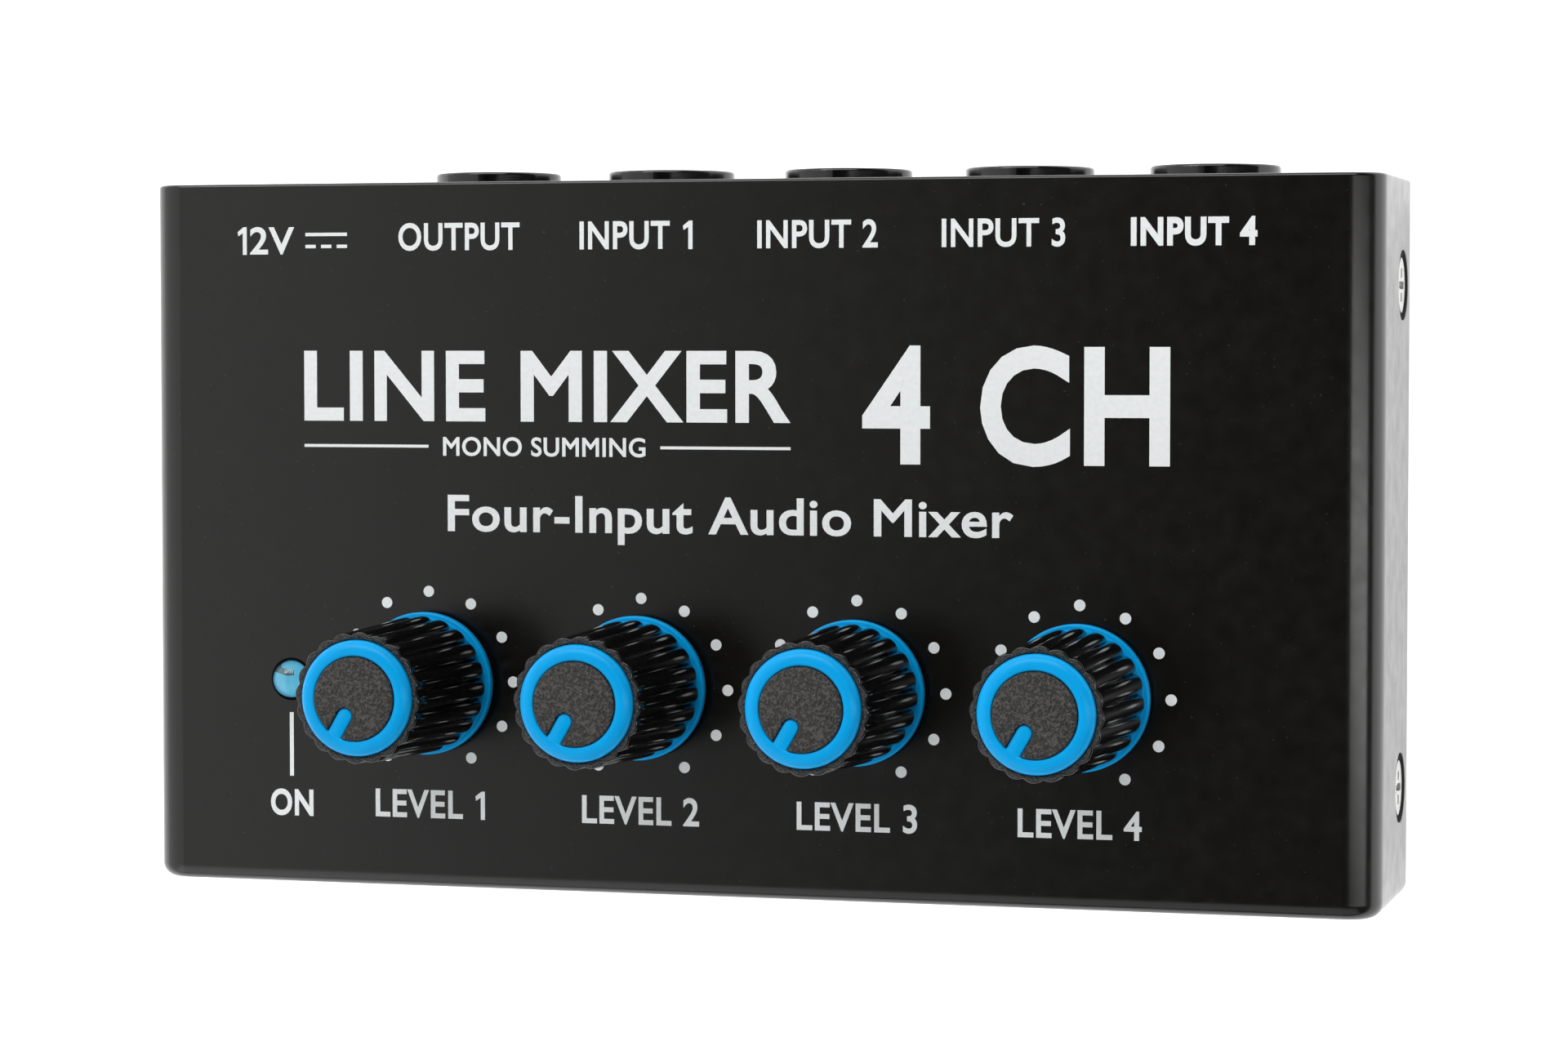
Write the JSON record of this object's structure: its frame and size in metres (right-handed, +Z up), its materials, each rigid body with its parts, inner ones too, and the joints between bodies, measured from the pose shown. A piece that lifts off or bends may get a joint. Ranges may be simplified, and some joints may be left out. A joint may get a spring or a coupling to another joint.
{
  "type": "mixing console",
  "caption": "Compact line mixer in a folded black case: row of level knobs and an indicator lamp on the panel, jack sockets and a power inlet on the rear wall.",
  "frame": {"origin": "centre of the outline on the surface that the feet stand on", "axes": "+X to the right along the panel, +Y to the rear wall with the sockets, +Z up out of the panel"},
  "size_m": [0.13, 0.0746, 0.0457],
  "materials": {
    "cover_paint": "satin black powder coat with a faint brushed grain",
    "chassis_paint": "satin black paint",
    "screw_steel": "dark nickel plated screws",
    "foot_rubber": "matte black rubber",
    "board_laminate": "green solder mask",
    "inner_steel": "tinned or zinc plated steel",
    "chip_plastic": "black moulding compound",
    "capacitor_can": "sleeved can",
    "resistor_body": "ceramic chips with a dark face",
    "jack_plastic": "black moulded housing",
    "nut_plastic": "gloss black moulding",
    "contact_spring": "sprung contact metal",
    "washer_nickel": "bright nickel",
    "pin_nickel": "bright nickel",
    "pot_housing": "dark moulded housing",
    "shaft_metal": "turned metal shaft",
    "grip_plastic": "gloss black moulding, fine matte rim on top",
    "core_plastic": "bright azure moulding, soft gloss",
    "cap_plastic": "grained dark grey moulding",
    "lamp_clear": "clear light blue resin, unlit"
  },
  "bodies": {
    "mixer_case": {"amplifier_chips": "chip_plastic", "base_plate": "chassis_paint", "board_screws": "inner_steel", "board_standoffs": "inner_steel", "case_screws": "screw_steel", "chip_resistors": "resistor_body", "circuit_board": "board_laminate", "filter_capacitors": "capacitor_can", "inlet_body": "jack_plastic", "inlet_pin": "pin_nickel", "inlet_spring": "contact_spring", "jack_body_input_1": "jack_plastic", "jack_body_input_2": "jack_plastic", "jack_body_input_3": "jack_plastic", "jack_body_input_4": "jack_plastic", "jack_body_output": "jack_plastic", "jack_nut_input_1": "nut_plastic", "jack_nut_input_2": "nut_plastic", "jack_nut_input_3": "nut_plastic", "jack_nut_input_4": "nut_plastic", "jack_nut_output": "nut_plastic", "jack_washers": "washer_nickel", "lamp_leads": "inner_steel", "lamp_lens": "lamp_clear", "lamp_spacer": "chip_plastic", "pot_housing_1": "pot_housing", "pot_housing_2": "pot_housing", "pot_housing_3": "pot_housing", "pot_housing_4": "pot_housing", "rear_wall": "chassis_paint", "rubber_feet": "foot_rubber", "side_flanges": "chassis_paint", "sleeve_contacts": "contact_spring", "tip_spring_input_1": "contact_spring", "tip_spring_input_2": "contact_spring", "tip_spring_input_3": "contact_spring", "tip_spring_input_4": "contact_spring", "tip_spring_output": "contact_spring", "top_cover": "cover_paint", "voltage_regulator": "chip_plastic"},
    "level_knob_1": {"pot_shaft_1": "shaft_metal", "pot_wiper_1": "contact_spring", "knob_grip_1": "grip_plastic", "knob_core_1": "core_plastic", "knob_cap_1": "cap_plastic"},
    "level_knob_2": {"pot_shaft_2": "shaft_metal", "pot_wiper_2": "contact_spring", "knob_grip_2": "grip_plastic", "knob_core_2": "core_plastic", "knob_cap_2": "cap_plastic"},
    "level_knob_3": {"pot_shaft_3": "shaft_metal", "pot_wiper_3": "contact_spring", "knob_grip_3": "grip_plastic", "knob_core_3": "core_plastic", "knob_cap_3": "cap_plastic"},
    "level_knob_4": {"pot_shaft_4": "shaft_metal", "pot_wiper_4": "contact_spring", "knob_grip_4": "grip_plastic", "knob_core_4": "core_plastic", "knob_cap_4": "cap_plastic"}
  },
  "joints": [
    {"name": "level_1_turn", "type": "hinge", "parent": "mixer_case", "child": "level_knob_1", "pos_m": [-0.03367, -0.01582, 0.024], "axis": [0, 0, -1], "range_deg": [0, 300]},
    {"name": "level_2_turn", "type": "hinge", "parent": "mixer_case", "child": "level_knob_2", "pos_m": [-0.01071, -0.01582, 0.024], "axis": [0, 0, -1], "range_deg": [0, 300]},
    {"name": "level_3_turn", "type": "hinge", "parent": "mixer_case", "child": "level_knob_3", "pos_m": [0.01225, -0.01582, 0.024], "axis": [0, 0, -1], "range_deg": [0, 300]},
    {"name": "level_4_turn", "type": "hinge", "parent": "mixer_case", "child": "level_knob_4", "pos_m": [0.03521, -0.01582, 0.024], "axis": [0, 0, -1], "range_deg": [0, 300]}
  ]
}
